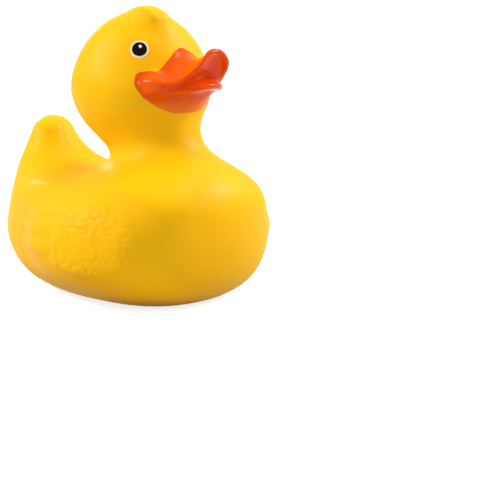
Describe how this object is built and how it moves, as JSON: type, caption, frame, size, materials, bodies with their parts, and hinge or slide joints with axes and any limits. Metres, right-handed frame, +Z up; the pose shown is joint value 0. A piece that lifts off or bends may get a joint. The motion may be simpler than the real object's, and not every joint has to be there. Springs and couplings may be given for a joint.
{
  "type": "rubber duck",
  "caption": "Hollow vinyl bath duck with an open upturned bill, a head curl, raised wings and a whistle disc in its flat base.",
  "frame": {"origin": "middle of the overall box, on the flat base", "axes": "+Z up, the duck looks along -Y, +X is its left side"},
  "size_m": [0.0772, 0.0903, 0.0912],
  "materials": {
    "yellow_vinyl": "satin moulded vinyl, with gloss orange paint on the bill and painted eyes",
    "white_plastic": "moulded white plastic"
  },
  "bodies": {
    "root": {"duck_body": "yellow_vinyl", "squeaker": "white_plastic"}
  },
  "joints": []
}
